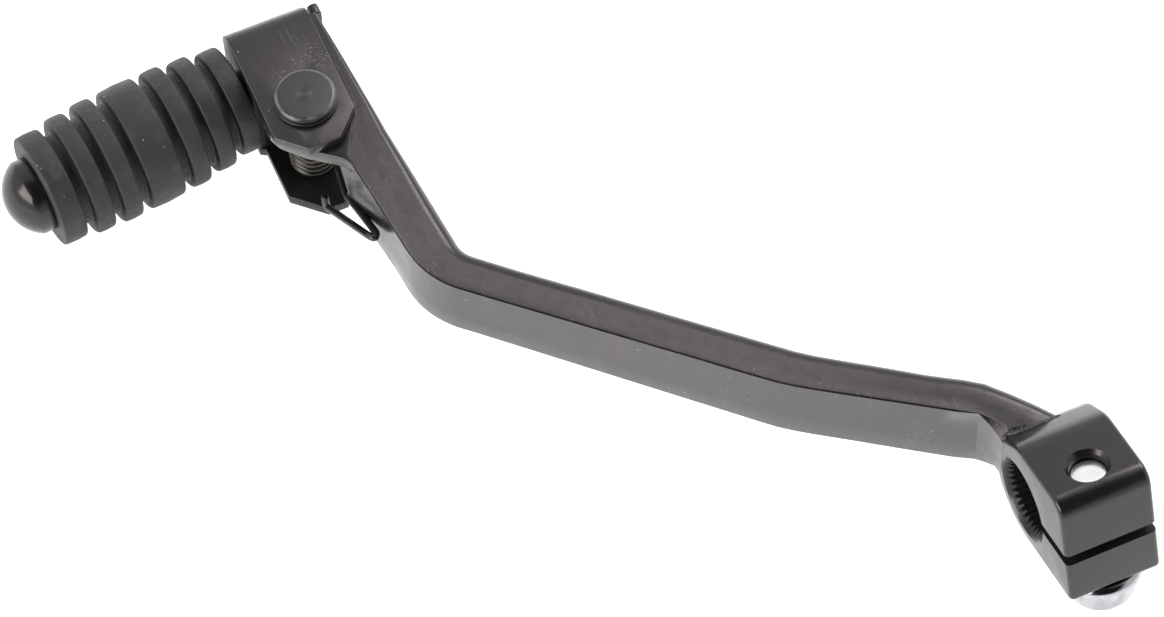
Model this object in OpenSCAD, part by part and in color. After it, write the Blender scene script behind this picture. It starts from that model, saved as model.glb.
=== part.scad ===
// Gear shift lever for a motorcycle: a bent steel arm with a splined pinch clamp at one end
// and a spring loaded folding toe tip with a ribbed rubber sleeve at the other.
// Units are millimetres. The origin is the centre of the splined bore. Y runs along the
// gear spindle towards the engine, Z runs up along the hinge rivet, and the arm runs to -X.

/* [Arm] */
// level of the arm's flat top above the bore axis
arm_top = 7.0; // [5:0.1:9]
// thickness of the arm bar, front face to back face
bar_t = 7.0; // [5:0.1:9]
// height of the bar at the clamp
bar_h_clamp = 15.4; // [12:0.1:17]
// height of the bar at the hinge
bar_h_hinge = 10.65; // [8:0.05:13]
// bend radius of the bar's front face
bend_r = 16; // [9:0.5:24]
// bevel on the bar's back top edge
back_bevel = 1.5; // [0.5:0.1:2.5]
// thickness of the hinge tongue
tongue_t = 3.0; // [2:0.1:4]
// radius of the tongue about the hinge
tongue_r = 7.3; // [6:0.1:7.6]

/* [Clamp] */
// how far the clamp is turned about the spindle
clamp_turn = -18.3; // [-40:0.1:20]
// width of the clamp along the spindle
clamp_w = 15.5; // [12:0.1:18]
// clamp end beyond the bore axis
clamp_end = 15.6; // [13:0.1:18]
// top of the upper jaw above the bore axis
jaw_top = 11.85; // [10:0.05:13]
// underside of the lower jaw below the bore axis
jaw_low = 9.3; // [7.5:0.05:10]
// width of the pinch slot
slot_w = 1.94; // [1:0.01:3]
// radius on the tooth crests of the splined bore
spline_r = 6.0; // [5:0.05:7]
// number of spline grooves
spline_n = 36; // [24:1:44]
// depth of each spline groove
spline_d = 0.55; // [0.3:0.05:0.8]
// radius of the chamfered mouth of the bore
mouth_r = 7.15; // [6.3:0.05:7.6]
// pinch bolt axis from the bore axis
bolt_x = 9.4; // [8:0.1:11]

/* [Pinch bolt] */
// bolt shank radius
bolt_r = 2.93; // [2.4:0.01:3.4]
// flange radius
flange_r = 6.8; // [5.5:0.1:8]
// hexagon across flats
hex_af = 10; // [8:0.5:12]
// head height with flange
head_h = 6.3; // [5:0.1:8]
// how far the bolt's end stays below the upper jaw's top
bolt_sunk = 1.75; // [0.5:0.05:4]

/* [Folding tip] */
// hinge axis, X
hinge_x = -108.6; // [-120:0.1:-95]
// hinge axis, Y
hinge_y = -83.2; // [-95:0.1:-70]
// top of the upper ear
ear_top = 9.25; // [8:0.05:11]
// plate thickness of the bracket
plate_t = 2.05; // [1.6:0.05:3]
// overall height of the bracket
bracket_h = 20.7; // [17:0.1:24]
// length of the bracket behind the hinge
bracket_back = 19.1; // [16:0.1:22]
// outside radius of the bracket's folded back
fold_r = 4.5; // [3:0.1:6]

/* [Hinge] */
// rivet shank radius
rivet_r = 2.5; // [2:0.05:3]
// running clearance of the tongue on the rivet
rivet_play = 0.06; // [0.02:0.01:0.1]
// rivet head radius
rivet_head_r = 5.23; // [4.5:0.01:6]
// rivet head height
rivet_head_h = 1.95; // [1.2:0.05:3]
// spring wire diameter
wire_d = 1.25; // [0.8:0.05:1.6]
// spring coil radius to the wire's centre
coil_r = 3.22; // [2.9:0.01:3.6]
// number of spring turns
coil_n = 11; // [8:1:13]

/* [Peg] */
// peg axis behind the hinge
peg_x = -12.4; // [-14:0.1:-11]
// peg axis level
peg_z = -0.8; // [-3:0.1:2]
// peg tilt in plan
peg_tilt = 5.95; // [0:0.05:12]
// stud radius inside the rubber
stud_r = 4.98; // [4:0.01:6]
// radius of the stud's domed end
dome_r = 6.4; // [5.5:0.1:7]
// start of the rubber along the peg axis
rubber_a = 8.2; // [8:0.1:10]
// end of the rubber along the peg axis
rubber_b = 44.4; // [40:0.1:50]

/* [Hidden] */
$fn = 48;
eps = 0.01;
// lever outline, bend centre and its two arcs
turn_a = -84.4;
turn_b = -43.1;
bend_x = -78.88;
bend_y = -62.72;
// corners of the bar's back face, from the hinge to the clamp
knee_a = [-74.0, -70.54];
knee_b = [-35.0, -28.9];
knee_c = [-19.2, -6.76];
back_a = atan2(knee_a[1] + 74.35, knee_a[0] + 119.9);
back_b = atan2(knee_b[1] - knee_a[1], knee_b[0] - knee_a[0]);
back_c = atan2(knee_c[1] - knee_b[1], knee_c[0] - knee_b[0]);
back_d = atan2(6 - knee_c[1], -4 - knee_c[0]);
ear_low = ear_top - plate_t;
floor_z = ear_top - bracket_h;
floor_top = floor_z + plate_t;
tongue_low = arm_top - tongue_t;
arm_low_hinge = arm_top - bar_h_hinge;
arm_low_clamp = arm_top - bar_h_clamp;
low_slope = (arm_low_clamp - arm_low_hinge) / (0 - hinge_x);
coil_hi = tongue_low - wire_d / 2 - 0.05;
coil_lo = floor_top + wire_d / 2 + 0.05;
coil_pitch = (coil_hi - coil_lo) / (coil_n - 1);
round_r = 9.85;
round_z = round_r - jaw_low + 0.05;
steel_black = [0.10, 0.10, 0.105];
// ribs of the sleeve: middle along the peg, half width, radius
ribs = [[9.92, 1.73, 9.1], [14.9, 1.6, 9.77], [19.75, 1.6, 10.26], [26.0, 3.02, 10.5],
        [32.3, 1.6, 10.5], [37.12, 1.58, 10.2], [42.38, 2.02, 9.6]];
rib_edge = 0.5;
groove_d = 1.6;
dome_ball = 7.2;

function arc(cx, cy, r, a, b, n) = [for (i = [0 : n]) [cx + r * cos(a + (b - a) * i / n),
                                                        cy + r * sin(a + (b - a) * i / n)]];

// ---- arm ---------------------------------------------------------------------------

// plan of the full height bar, from the finger tip round the front to the clamp and back
module bar_plan() {
    polygon(concat(
        [[-125.4, -76.05], [-106.2, -76.05], [-97.2, -80.95], [-95.4, -80.42]],
        arc(bend_x, bend_y, bend_r, turn_a, turn_b, 8),
        [[-31.2, -35.2], [-28.0, -31.0], [-13.2, -9.15], [-11.0, -8.3], [-8.2, -7.45], [-4, -7.3], [-4, 6.0],
         knee_c, knee_b, knee_a, [-119.9, -74.35], [-125.4, -74.85]]));
}

// plan of the thin tongue that goes between the ears
module tongue_plan() {
    translate([hinge_x, hinge_y]) {
        circle(r = tongue_r);
        polygon([[0, -7.0], [4.1, -6.0], [7.3, -3.1], [9.2, -0.7], [10.4, 0.9], [11.5, 2.0], [13.2, 2.78],
                 [16, 3.0], [16, 9], [0, 9.6], [-3, 7.3]]);
    }
}

module arm_side() {
    rotate([90, 0, 0])
    linear_extrude(height = 120)
    polygon([[-128, arm_top], [-128, arm_low_hinge + low_slope * (-128 - hinge_x)],
             [-13.5, arm_low_clamp + low_slope * -13.5], [-9.0, -4.6], [2, -4.6], [2, arm_top]]);
}

// bevel plane of the back top edge, u outwards from the back face and v up from the top
module bevel_profile() {
    polygon([[-back_bevel, 0], [0, -back_bevel], [1.5, -back_bevel], [1.5, 1], [-back_bevel, 1]]);
}

// bevel along a straight stretch of the back top edge through a point, from u0 to u1
module edge_bevel(at, a, u0, u1) {
    translate([at[0], at[1], arm_top])
    rotate([0, 0, a])
    translate([u0, 0, 0])
    rotate([90, 0, 90])
    linear_extrude(height = u1 - u0)
    bevel_profile();
}

// half space on the hinge side (s = -1) or the clamp side (s = 1) of a mitre plane
module mitre(at, a, s) {
    translate([at[0], at[1], arm_top])
    rotate([0, 0, a])
    translate([s * 50, 0, 0])
    cube([100, 20, 20], center = true);
}

module lever_arm() {
    color(steel_black)
    difference() {
        union() {
            intersection() {
                translate([0, 0, -14]) linear_extrude(height = 30) bar_plan();
                translate([0, 20, 0]) arm_side();
            }
            translate([0, 0, tongue_low]) linear_extrude(height = tongue_t) tongue_plan();
        }
        translate([hinge_x, hinge_y, -20]) cylinder(r = rivet_r + rivet_play, h = 40);
        intersection() {
            edge_bevel(knee_a, back_a, -54, 4);
            mitre(knee_a, (back_a + back_b) / 2, -1);
        }
        intersection() {
            edge_bevel(knee_a, back_b, -4, 62);
            mitre(knee_a, (back_a + back_b) / 2, 1);
            mitre(knee_b, (back_b + back_c) / 2, -1);
        }
        intersection() {
            edge_bevel(knee_b, back_c, -4, 30);
            mitre(knee_b, (back_b + back_c) / 2, 1);
        }
        edge_bevel(knee_c, back_d, -3, 22);
        rotate([0, clamp_turn, 0])
        translate([0, 0, round_z])
        rotate([90, 0, 0])
        cylinder(r = round_r, h = 60, center = true, $fn = 96);
    }
}

// ---- clamp -------------------------------------------------------------------------

// rounds an edge that runs along Y: x and z are the corner, sx and sz point inwards
module edge_round(x, z, r, sx, sz) {
    translate([x, 0, z])
    difference() {
        cube([2 * r, clamp_w + 2, 2 * r], center = true);
        translate([sx * r, 0, sz * r]) rotate([90, 0, 0]) cylinder(r = r + 0.02, h = clamp_w + 4, center = true);
        translate([sx * 2 * r, 0, 0]) cube([2 * r, clamp_w + 4, 4 * r], center = true);
        translate([0, 0, sz * 2 * r]) cube([4 * r, clamp_w + 4, 2 * r], center = true);
    }
}

// side view of the two jaws with the sloping shoulder of the upper one
module jaw_side() {
    polygon(concat([[0, -jaw_low], [clamp_end, -jaw_low], [clamp_end, jaw_top]],
                   arc(2.31, jaw_top - 8, 8, 90, 118, 6),
                   [[-4.3, jaw_top - 2.5], [-4.3, 0], [0, 0]]));
}

module spline_boss() {
    color(steel_black)
    rotate([0, clamp_turn, 0])
    difference() {
        union() {
            translate([0, 0, round_z]) rotate([90, 0, 0])
            cylinder(r = round_r, h = clamp_w, center = true, $fn = 96);
            rotate([90, 0, 0]) linear_extrude(height = clamp_w, center = true) jaw_side();
        }
        rotate([90, 0, 0]) cylinder(r = spline_r, h = clamp_w + 2, center = true, $fn = 96);
        for (i = [0 : spline_n - 1])
            rotate([0, i * 360 / spline_n, 0])
            translate([spline_r, 0, 0])
            rotate([0, 45, 0])
            cube([spline_d * 1.2, clamp_w + 2, spline_d * 1.2], center = true);
        for (s = [-1, 1])
            translate([0, s * clamp_w / 2, 0])
            rotate([s * 90, 0, 0])
            translate([0, 0, -0.1])
            cylinder(r1 = mouth_r + 0.1, r2 = spline_r - 0.1, h = 1.4, $fn = 96);
        translate([0, -clamp_w, -slot_w / 2]) cube([clamp_end + 5, 2 * clamp_w, slot_w]);
        edge_round(clamp_end, jaw_top, 3, -1, -1);
        edge_round(clamp_end, -jaw_low, 1.2, -1, 1);
        translate([bolt_x, 0, 0]) cylinder(r = 3.0, h = 20);
        translate([bolt_x, 0, -20]) cylinder(r = 3.3, h = 20);
        translate([bolt_x, 0, jaw_top - 0.6]) cylinder(r1 = 2.95, r2 = 3.65, h = 0.7);
        for (z = [1.1, 1.9])
            translate([bolt_x, 0, jaw_top - z - 0.15]) cylinder(r = 3.22, h = 0.3);
    }
}

// rough bead where the bar runs into the clamp
module boss_weld() {
    color(steel_black)
    difference() {
        for (i = [0 : 7])
            translate([-7.75 - 0.2 * (i % 2), -6.7 + i * 1.05, arm_top - 0.1])
            sphere(r = 1.0 - 0.1 * (i % 3), $fn = 24);
        translate([-40, -20, -20]) cube([60, 40, 20 + arm_top]);
        rotate([0, clamp_turn, 0])
        translate([0, 0, round_z])
        rotate([90, 0, 0])
        cylinder(r = round_r, h = 60, center = true, $fn = 96);
    }
}

module pinch_bolt() {
    color([0.82, 0.82, 0.84])
    rotate([0, clamp_turn, 0])
    translate([bolt_x, 0, 0]) {
        translate([0, 0, -jaw_low - 0.02 - 1.5]) cylinder(r = flange_r, h = 1.5);
        translate([0, 0, -jaw_low - 0.5]) cylinder(r = bolt_r, h = jaw_low + jaw_top - bolt_sunk);
        translate([0, 0, jaw_top - bolt_sunk - 0.5]) cylinder(r1 = bolt_r, r2 = bolt_r - 0.1, h = 0.5);
        intersection() {
            translate([0, 0, -jaw_low - head_h]) cylinder(r = hex_af / 2 / cos(30), h = head_h - 1, $fn = 6);
            translate([0, 0, -jaw_low - head_h]) cylinder(r1 = hex_af / 2, r2 = hex_af, h = hex_af);
        }
    }
}

// ---- folding tip -------------------------------------------------------------------

// side view of the folded plate: two ears and a rounded back
module fold_side(grow) {
    r = fold_r - grow;
    x0 = -bracket_back + grow;
    z0 = floor_z + grow;
    z1 = ear_top - grow;
    polygon(concat(arc(x0 + r, z1 - r, r, 90, 180, 8), arc(x0 + r, z0 + r, r, 180, 270, 8),
                   [[20, z0], [20, z1]]));
}

module folded_plate() {
    translate([0, 15, 0])
    rotate([90, 0, 0])
    linear_extrude(height = 30)
    difference() {
        fold_side(0);
        fold_side(plate_t);
    }
}

module tip_bracket() {
    color(steel_black)
    translate([hinge_x, hinge_y, 0])
    difference() {
        union() {
            intersection() {
                folded_plate();
                union() {
                    translate([0, 0, peg_z])
                    linear_extrude(height = 20)
                    polygon([[-20, -7.3], [4.5, -7.3], [8.7, -3.03], [8.7, 2.47], [4.1, 6.78], [-17.3, 6.78],
                             [-18.5, 6.1], [-19.2, 4.9], [-20, 4.9]]);
                    translate([0, 0, peg_z - 20])
                    linear_extrude(height = 20)
                    polygon([[-20, -7.3], [-6, -7.3], [-5.4, -6.3], [4.6, -6.3], [9.4, -1.3], [9.4, 2.2],
                             [5.2, 6.4], [-20, 6.78]]);
                }
            }
            // wall that carries the peg
            intersection() {
                translate([0, -7.3 + plate_t, 0])
                rotate([90, 0, 0])
                linear_extrude(height = plate_t)
                fold_side(0);
                translate([-20, -8, floor_z]) cube([14, 4, bracket_h]);
            }
            // stop tab beside the finger of the arm, free of the plate above z 2
            intersection() {
                folded_plate();
                translate([-20, 0, 0])
                rotate([90, 0, 90])
                linear_extrude(height = 3.1)
                polygon([[5, -4.5], [9.4, -4.5], [9.4, 5.4], [9.1, 5.95], [8.75, 6.2], [8.15, 6.2], [7.8, 5.95],
                         [7.5, 5.4], [7.5, 2.0], [5, 2.0]]);
            }
        }
        translate([0, 0, -20]) cylinder(r = rivet_r + 0.02, h = 40);
        translate([peg_x, 0, peg_z]) rotate([0, 0, peg_tilt]) rotate([90, 0, 0]) cylinder(r = 4.02, h = 12);
    }
}

module hinge_rivet() {
    color([0.16, 0.16, 0.165])
    translate([hinge_x, hinge_y, 0]) {
        translate([0, 0, floor_z - 0.5]) cylinder(r = rivet_r, h = bracket_h + 1);
        translate([0, 0, ear_top + 0.02]) cylinder(r = rivet_head_r, h = 1.15);
        translate([0, 0, ear_top + 1.16])
        cylinder(r1 = rivet_head_r, r2 = rivet_head_r - 0.55, h = rivet_head_h - 1.16);
        translate([0, 0, floor_z - 0.62]) cylinder(r = 4.4, h = 0.6);
        translate([0, 0, floor_z - 1.62]) cylinder(r1 = 3.2, r2 = 4.4, h = 1.01);
    }
}

// straight piece of wire between two points, with a ball at its far end
module wire(a, b) {
    d = b - a;
    len = norm(d);
    translate(a)
    rotate([0, acos(d[2] / len), atan2(d[1], d[0])])
    cylinder(r = wire_d / 2 - 0.01, h = len, $fn = 24);
    translate(b) sphere(r = wire_d / 2, $fn = 24);
}

module torsion_spring() {
    leg = [[1.54, 2.83, -5.6], [11.6, 1.5, -4.4], [12.3, 1.6, -3.7], [23.2, 2.3, 1.3], [24.1, 1.7, 1.6],
           [23.2, 0.95, 1.2], [10.9, -1.98, -5.9], [10.7, -1.98, -3.2]];
    color([0.35, 0.33, 0.30])
    translate([hinge_x, hinge_y, 0]) {
        for (i = [0 : coil_n - 1])
            translate([0, 0, coil_lo + i * coil_pitch])
            rotate_extrude()
            translate([coil_r, 0])
            circle(r = coil_pitch / 2 + 0.02, $fn = 24);
        for (i = [0 : len(leg) - 2])
            wire(leg[i], leg[i + 1]);
    }
}

// ---- peg ---------------------------------------------------------------------------

module on_peg() {
    translate([hinge_x + peg_x, hinge_y, peg_z])
    rotate([0, 0, peg_tilt])
    rotate([90, 0, 0])
    children();
}

module peg_stud() {
    color([0.13, 0.13, 0.135])
    on_peg() {
        translate([0, 0, 3.25]) cylinder(r = 4.85, h = 1.35);
        translate([0, 0, 4.5]) cylinder(r = 4.0, h = 4);
        translate([0, 0, 7.9]) cylinder(r = stud_r, h = rubber_b - 7.8);
        intersection() {
            translate([0, 0, rubber_b + 0.02]) cylinder(r = dome_r, h = 8);
            translate([0, 0, rubber_b - 1.15]) sphere(r = dome_ball, $fn = 96);
        }
    }
}

module peg_rubber() {
    color([0.12, 0.12, 0.12])
    on_peg()
    difference() {
        union() {
            for (i = [0 : len(ribs) - 2])
                translate([0, 0, ribs[i][0]])
                cylinder(r1 = ribs[i][2] - groove_d, r2 = ribs[i + 1][2] - groove_d,
                         h = ribs[i + 1][0] - ribs[i][0]);
            for (b = ribs)
                translate([0, 0, b[0] - b[1]]) {
                    cylinder(r1 = b[2] - rib_edge, r2 = b[2], h = rib_edge);
                    translate([0, 0, rib_edge]) cylinder(r = b[2], h = 2 * b[1] - 2 * rib_edge);
                    translate([0, 0, 2 * b[1] - rib_edge]) cylinder(r1 = b[2], r2 = b[2] - rib_edge, h = rib_edge);
                }
        }
        translate([0, 0, rubber_a - 2]) cylinder(r = stud_r + 0.02, h = rubber_b - rubber_a + 4);
    }
}

lever_arm();
spline_boss();
boss_weld();
pinch_bolt();
tip_bracket();
hinge_rivet();
torsion_spring();
peg_stud();
peg_rubber();
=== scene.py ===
import bpy
import bmesh
import math
from mathutils import Vector, Matrix, noise


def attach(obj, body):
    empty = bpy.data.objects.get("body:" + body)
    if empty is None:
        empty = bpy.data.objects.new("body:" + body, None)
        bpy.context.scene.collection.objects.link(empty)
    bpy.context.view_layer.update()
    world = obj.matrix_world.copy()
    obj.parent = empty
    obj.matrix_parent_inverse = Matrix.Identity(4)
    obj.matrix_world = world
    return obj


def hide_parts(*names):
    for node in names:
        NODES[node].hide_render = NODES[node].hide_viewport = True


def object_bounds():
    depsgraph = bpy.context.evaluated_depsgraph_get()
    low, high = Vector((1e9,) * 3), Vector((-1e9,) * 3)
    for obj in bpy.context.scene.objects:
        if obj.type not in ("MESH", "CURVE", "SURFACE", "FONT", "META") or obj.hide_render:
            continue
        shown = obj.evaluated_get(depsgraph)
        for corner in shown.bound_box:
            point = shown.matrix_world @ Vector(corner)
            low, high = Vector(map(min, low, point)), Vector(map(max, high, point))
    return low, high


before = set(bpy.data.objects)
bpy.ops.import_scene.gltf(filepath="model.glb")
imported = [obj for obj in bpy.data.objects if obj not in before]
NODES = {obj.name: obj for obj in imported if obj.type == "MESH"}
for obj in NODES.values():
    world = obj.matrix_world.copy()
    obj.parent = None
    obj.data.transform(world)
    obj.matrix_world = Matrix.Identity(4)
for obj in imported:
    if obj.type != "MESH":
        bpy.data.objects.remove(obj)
CAD_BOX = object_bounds()
MM = 0.001

# ---------------------------------------------------------------- sizes, in millimetres
ARM_TOP = 7.0                       # top face of the bar
BAR_H_CLAMP = 15.4                  # the bar's height at the spindle
BAR_H_HINGE = 10.65                 # and at the hinge
HINGE = (-108.6, -83.2)             # the rivet's axis in plan
TONGUE = 3.0                        # thickness of the bar's hinge tongue
EAR_TOP = 9.25                      # top face of the bracket
PLATE = 2.05                        # the bracket's plate
BRACKET_H = 20.7
FLOOR_Z = EAR_TOP - BRACKET_H       # underside of the bracket
CLAMP_TURN = -18.3                  # the clamp's turn about the spindle, in degrees
CLAMP_W = 15.5                      # the clamp along the spindle
CLAMP_END = 15.6                    # from the spindle's axis to the clamp's flat end
JAW_TOP = 11.85                     # from the spindle's axis to the clamp's top face
JAW_LOW = 9.3                       # and to its underside
JAW_FLOOR = -JAW_LOW
CLAMP_ROUND_R = 9.9                 # the clamp's round back
SLOT = 1.94
BOLT_X = 9.4                        # the pinch bolt's axis, from the spindle's
BOLT_END = JAW_TOP - 1.75           # the bolt's end, below the clamp's top face
SHANK_R = 2.9
PEG = (HINGE[0] - 12.4, HINGE[1], -0.8)
PEG_TILT = 5.95                     # degrees
RUBBER = (8.2, 44.4)                # the sleeve's ends, along the peg
WIRE = 1.25
COIL_R = 3.22
TURNS = 9.0
COIL_STEPS = 30                     # points in each turn


def low_z(x):
    """Underside of the bar, which tapers from the clamp to the hinge."""
    return ARM_TOP - (BAR_H_CLAMP + (BAR_H_CLAMP - BAR_H_HINGE) / -HINGE[0] * x)


def clamp01(t):
    return min(1.0, max(0.0, t))


# ---------------------------------------------------------------- mesh helpers
def add_object(name, data):
    ob = bpy.data.objects.new(name, data)
    bpy.context.scene.collection.objects.link(ob)
    return ob


def to_mesh(name, bm):
    """A new mesh from the bmesh, with its normals outwards; the bmesh goes."""
    bmesh.ops.recalc_face_normals(bm, faces=bm.faces)
    me = bpy.data.meshes.new(name)
    bm.to_mesh(me)
    bm.free()
    return me


def finish_mesh(name, bm, body, mat, angle, nodes=()):
    """A visible piece on its body; edges sharper than the angle stay sharp."""
    me = to_mesh(name, bm)
    for p in me.polygons:
        p.use_smooth = True
    me.set_sharp_from_angle(angle=math.radians(angle))
    ob = add_object(name, me)
    ob.data.materials.append(mat)
    if nodes:
        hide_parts(*nodes)
    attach(ob, body)
    return ob


def scratch_obj(bm, name="tmp"):
    return add_object(name, to_mesh(name, bm))


def bake(ob):
    """The object's mesh with its modifiers, as a bmesh; the object goes."""
    bpy.context.view_layer.update()
    deps = bpy.context.evaluated_depsgraph_get()
    me = bpy.data.meshes.new_from_object(ob.evaluated_get(deps))
    bm = bmesh.new()
    bm.from_mesh(me)
    bpy.data.objects.remove(ob)
    bpy.data.meshes.remove(me)
    return bm


def boolean(ob, other, op="DIFFERENCE"):
    mod = ob.modifiers.new("cut", "BOOLEAN")
    mod.operation = op
    mod.solver = "EXACT"
    mod.object = other
    bm = bake(ob)
    bpy.data.objects.remove(other)
    return scratch_obj(bm)


def bevel(ob, width, segments, angle):
    mod = ob.modifiers.new("bevel", "BEVEL")
    mod.width = width * MM
    mod.segments = segments
    mod.limit_method = "ANGLE"
    mod.angle_limit = math.radians(angle)
    return scratch_obj(bake(ob))


def to_bm(ob):
    bm = bmesh.new()
    bm.from_mesh(ob.data)
    bpy.data.objects.remove(ob)
    return bm


def skin(bm, rings, caps=False):
    """Faces between closed rings of equal length, and over both ends with caps."""
    n = len(rings[0])
    for a, b in zip(rings, rings[1:]):
        for k in range(n):
            j = (k + 1) % n
            bm.faces.new((a[k], a[j], b[j], b[k]))
    if caps:
        bm.faces.new(rings[0])
        bm.faces.new(rings[-1][::-1])


def prism(outline, z0, z1):
    """Prism over a plan outline, in millimetres."""
    bm = bmesh.new()
    low = [bm.verts.new((x * MM, y * MM, z0 * MM)) for x, y in outline]
    top = [bm.verts.new((x * MM, y * MM, z1 * MM)) for x, y in outline]
    bm.faces.new(low[::-1])
    bm.faces.new(top)
    skin(bm, [low, top])
    return bm


def lathe(profile, place, sides):
    """Turned piece: profile is (along, radius) in millimetres; a radius of 0 is a pole."""
    bm = bmesh.new()
    turns = [2 * math.pi * k / sides for k in range(sides)]
    rings = []
    for t, r in profile:
        if r < 1e-6:
            rings.append([bm.verts.new(place @ Vector((0, 0, t * MM)))])
        else:
            rings.append([bm.verts.new(place @ Vector((r * MM * math.cos(a), r * MM * math.sin(a), t * MM)))
                          for a in turns])
    for a, b in zip(rings, rings[1:]):
        for k in range(sides):
            j = (k + 1) % sides
            if len(a) == 1 and len(b) > 1:
                bm.faces.new((a[0], b[j], b[k]))
            elif len(b) == 1 and len(a) > 1:
                bm.faces.new((a[k], a[j], b[0]))
            elif len(a) > 1:
                bm.faces.new((a[k], a[j], b[j], b[k]))
    return bm


def rounded(points, r, n=4):
    """Rounds the inner corners of an open line, in two or three dimensions."""
    out = [tuple(points[0])]
    for p, q, s in zip(points, points[1:], points[2:]):
        p, q, s = Vector(p), Vector(q), Vector(s)
        d = min(r, 0.48 * (p - q).length, 0.48 * (s - q).length)
        a = q + (p - q).normalized() * d
        b = q + (s - q).normalized() * d
        for i in range(n + 1):
            t = i / n
            out.append(tuple(a * (1 - t) ** 2 + q * 2 * t * (1 - t) + b * t ** 2))
    out.append(tuple(points[-1]))
    return out


def tube(path, radius, sides):
    """Round wire along a path of points in millimetres, with domed ends."""
    end_size, end_out = 0.72, 0.28      # the ends' last ring, as shares of the wire's radius
    pts = [Vector(p) * MM for p in path]
    bm = bmesh.new()
    side = None
    rings = []
    n = len(pts)
    r = radius * MM
    for i, p in enumerate(pts):
        t = (pts[min(i + 1, n - 1)] - pts[max(i - 1, 0)]).normalized()
        if side is None:
            side = t.orthogonal().normalized()
        side = (side - t * side.dot(t)).normalized()
        up = t.cross(side)
        rings.append([bm.verts.new(p + (side * math.cos(a) + up * math.sin(a)) * r)
                      for a in (2 * math.pi * k / sides for k in range(sides))])
    skin(bm, rings)
    for ring, q, back in ((rings[0], pts[0], pts[1]), (rings[-1], pts[-1], pts[-2])):
        out = (q - back).normalized()
        inner = [bm.verts.new(q + (v.co - q) * end_size + out * radius * MM * end_out) for v in ring]
        skin(bm, [ring, inner])
        bm.faces.new(inner)
    return bm


def arc(cx, cy, r, a, b, n):
    """Points on an arc from a to b degrees."""
    return [(cx + r * math.cos(math.radians(a + (b - a) * i / n)),
             cy + r * math.sin(math.radians(a + (b - a) * i / n))) for i in range(n + 1)]


def along(table, x):
    """Straight line reading between the rows of a table."""
    if x <= table[0][0]:
        return table[0][1:]
    for a, b in zip(table, table[1:]):
        if x <= b[0]:
            t = (x - a[0]) / (b[0] - a[0])
            return tuple(p + (q - p) * t for p, q in zip(a[1:], b[1:]))
    return table[-1][1:]


# ---------------------------------------------------------------- materials
class Tree:
    """A material's nodes; textures read the object's own coordinates, in metres."""

    def __init__(self, name):
        self.mat = bpy.data.materials.new(name)
        self.mat.use_nodes = True
        self.t = self.mat.node_tree
        self.bsdf = self.t.nodes["Principled BSDF"]
        self.co = self.add("ShaderNodeTexCoord").outputs["Object"]

    def add(self, kind, **kw):
        n = self.t.nodes.new(kind)
        for k, v in kw.items():
            setattr(n, k, v)
        return n

    def link(self, a, b):
        self.t.links.new(a, b)

    def mapped(self, scale, rot):
        m = self.add("ShaderNodeMapping")
        m.inputs["Scale"].default_value = scale
        m.inputs["Rotation"].default_value = [math.radians(a) for a in rot]
        self.link(self.co, m.inputs["Vector"])
        return m.outputs[0]

    def split(self, vec):
        n = self.add("ShaderNodeSeparateXYZ")
        self.link(vec, n.inputs[0])
        return n.outputs

    def noise(self, scale, detail=3, rough=0.5, vec=None):
        n = self.add("ShaderNodeTexNoise")
        n.inputs["Scale"].default_value = scale
        n.inputs["Detail"].default_value = detail
        n.inputs["Roughness"].default_value = rough
        self.link(vec or self.co, n.inputs["Vector"])
        return n.outputs["Fac"]

    def voronoi(self, scale):
        n = self.add("ShaderNodeTexVoronoi")
        n.inputs["Scale"].default_value = scale
        self.link(self.co, n.inputs["Vector"])
        return n.outputs["Distance"]

    def ramp(self, fac, lo, hi, a=0.0, b=1.0):
        """Smooth step from a to b as fac goes from lo to hi."""
        n = self.add("ShaderNodeMapRange")
        n.interpolation_type = "SMOOTHSTEP"
        n.inputs["From Min"].default_value = lo
        n.inputs["From Max"].default_value = hi
        n.inputs["To Min"].default_value = a
        n.inputs["To Max"].default_value = b
        self.link(fac, n.inputs["Value"])
        return n.outputs["Result"]

    def math(self, op, a, b=None):
        n = self.add("ShaderNodeMath", operation=op)
        for s, v in zip(n.inputs, (a, b)):
            if v is None:
                continue
            if isinstance(v, (int, float)):
                s.default_value = v
            else:
                self.link(v, s)
        return n.outputs[0]

    def mix(self, fac, a, b):
        n = self.add("ShaderNodeMix", data_type="RGBA")
        self.link(fac, n.inputs["Factor"])
        for s, v in ((n.inputs[6], a), (n.inputs[7], b)):
            if isinstance(v, (tuple, list)):
                s.default_value = (*v, 1)
            else:
                self.link(v, s)
        return n.outputs[2]

    def bump(self, height, dist, strength=1.0, normal=None):
        """Bump with its distance in millimetres, over another normal if one is given."""
        n = self.add("ShaderNodeBump")
        n.inputs["Distance"].default_value = dist * MM
        n.inputs["Strength"].default_value = strength
        self.link(height, n.inputs["Height"])
        if normal:
            self.link(normal, n.inputs["Normal"])
        return n.outputs[0]


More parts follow.
